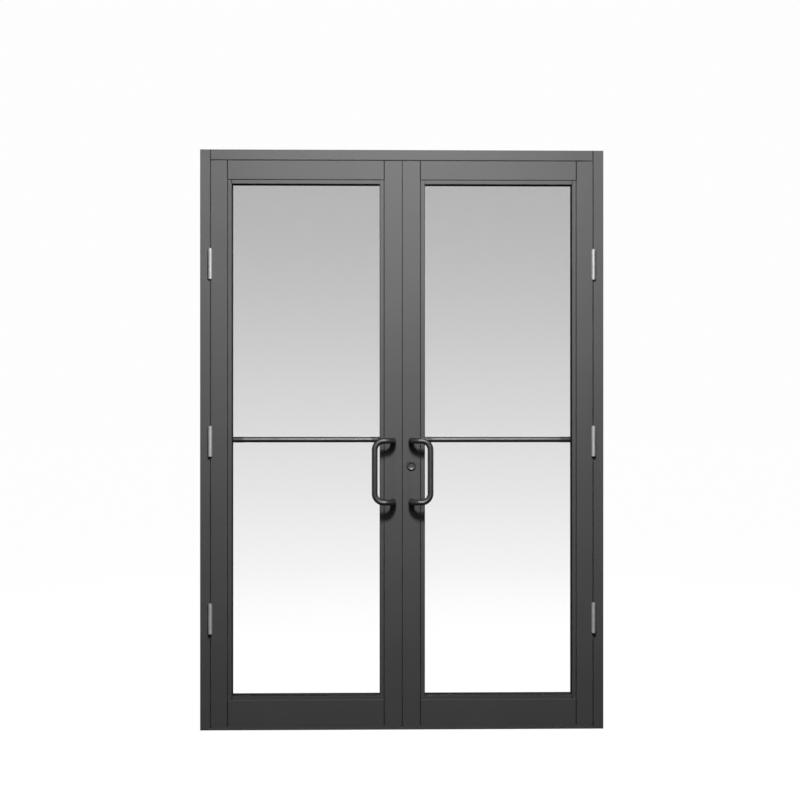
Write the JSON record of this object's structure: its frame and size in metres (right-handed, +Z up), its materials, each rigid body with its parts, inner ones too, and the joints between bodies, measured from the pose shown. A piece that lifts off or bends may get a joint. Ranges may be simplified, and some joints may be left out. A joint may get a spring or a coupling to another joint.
{
  "type": "double glass door with frame",
  "caption": "Pair of framed glass doors on butt hinges in a tubular metal frame, with offset pull handles outside, push bars inside, a key lock and flush bolts.",
  "frame": {"origin": "centre of the sill's underside, in the middle of the frame's depth", "axes": "+X to the right seen from outside, -Y out of the outside face that the doors open towards, +Z up"},
  "size_m": [1.52, 0.185, 2.184],
  "materials": {
    "frame_paint": "satin anthracite powder coat",
    "sill_paint": "satin anthracite powder coat, worn lighter on top",
    "handle_black": "gloss black",
    "black_trim": "satin black",
    "push_bar_steel": "satin",
    "clear_glass": "clear insulated glass",
    "spacer_black": "matt black",
    "seal_rubber": "matt black",
    "mill_aluminium": "mill finish",
    "hinge_steel": "satin",
    "lock_steel": "satin",
    "cylinder_steel": "dark satin",
    "key_metal": "dark satin",
    "fixing_steel": "zinc plated"
  },
  "bodies": {
    "frame": {"jamb_left": "frame_paint", "jamb_right": "frame_paint", "header": "frame_paint", "threshold": "sill_paint", "stop_left": "frame_paint", "stop_right": "frame_paint", "stop_head": "frame_paint", "weatherseals": "seal_rubber", "frame_screws": "fixing_steel", "bolt_keepers": "lock_steel", "left_jamb_hinge_leaves": "hinge_steel", "right_jamb_hinge_leaves": "hinge_steel", "jamb_hinge_screws": "hinge_steel", "left_hinge_pins": "hinge_steel", "right_hinge_pins": "hinge_steel"},
    "left_leaf": {"left_hinge_stile": "frame_paint", "left_meeting_stile": "frame_paint", "left_top_rail": "frame_paint", "left_bottom_rail": "frame_paint", "left_corner_blocks": "mill_aluminium", "left_panes": "clear_glass", "left_spacer": "spacer_black", "left_beads": "frame_paint", "left_glazing_rubber": "seal_rubber", "left_pull_handle": "handle_black", "left_handle_bolts": "fixing_steel", "left_push_bar": "push_bar_steel", "left_push_bar_ends": "handle_black", "left_sweep": "seal_rubber", "left_door_hinge_leaves": "hinge_steel", "left_leaf_screws": "fixing_steel", "strike_plate": "lock_steel", "flush_bolt_plates": "lock_steel"},
    "right_leaf": {"right_hinge_stile": "frame_paint", "right_meeting_stile": "frame_paint", "right_top_rail": "frame_paint", "right_bottom_rail": "frame_paint", "right_corner_blocks": "mill_aluminium", "right_panes": "clear_glass", "right_spacer": "spacer_black", "right_beads": "frame_paint", "right_glazing_rubber": "seal_rubber", "right_pull_handle": "handle_black", "right_handle_bolts": "fixing_steel", "right_push_bar": "push_bar_steel", "right_push_bar_ends": "handle_black", "right_sweep": "seal_rubber", "right_door_hinge_leaves": "hinge_steel", "right_leaf_screws": "fixing_steel", "meeting_seal": "seal_rubber", "lock_case": "lock_steel", "key_cylinder": "cylinder_steel", "cylinder_ring": "black_trim", "thumbturn_rose": "black_trim"},
    "flush_bolt_top": {"flush_bolt_top": "lock_steel"},
    "flush_bolt_bottom": {"flush_bolt_bottom": "lock_steel"},
    "lock_bolt": {"lock_bolt": "lock_steel"},
    "key_plug": {"key_plug": "key_metal"},
    "thumbturn": {"thumbturn": "key_metal"}
  },
  "joints": [
    {"name": "left_swing", "type": "hinge", "parent": "frame", "child": "left_leaf", "pos_m": [-0.72075, -0.0648, 1.086], "axis": [0, 0, -1], "range_deg": [0, 110]},
    {"name": "right_swing", "type": "hinge", "parent": "frame", "child": "right_leaf", "pos_m": [0.72075, -0.0648, 1.086], "axis": [0, 0, 1], "range_deg": [0, 110]},
    {"name": "flush_top_slide", "type": "slide", "parent": "left_leaf", "child": "flush_bolt_top", "axis": [0, 0, 1], "range_m": [0, 0.012]},
    {"name": "flush_bottom_slide", "type": "slide", "parent": "left_leaf", "child": "flush_bolt_bottom", "axis": [0, 0, -1], "range_m": [0, 0.012]},
    {"name": "lock_bolt_swing", "type": "hinge", "parent": "right_leaf", "child": "lock_bolt", "pos_m": [0.024, -0.03475, 1.015], "axis": [0, 1, 0], "range_deg": [0, 90]},
    {"name": "key_turn", "type": "hinge", "parent": "right_leaf", "child": "key_plug", "pos_m": [0.034, -0.055, 0.995], "axis": [0, 1, 0], "range_deg": [0, 90]},
    {"name": "thumb_turn", "type": "hinge", "parent": "right_leaf", "child": "thumbturn", "pos_m": [0.034, -0.01, 0.995], "axis": [0, 1, 0], "range_deg": [0, 90]}
  ],
  "couplings": [
    {"joint": "key_turn", "follows": "lock_bolt_swing", "ratio": 1},
    {"joint": "thumb_turn", "follows": "lock_bolt_swing", "ratio": 1}
  ]
}
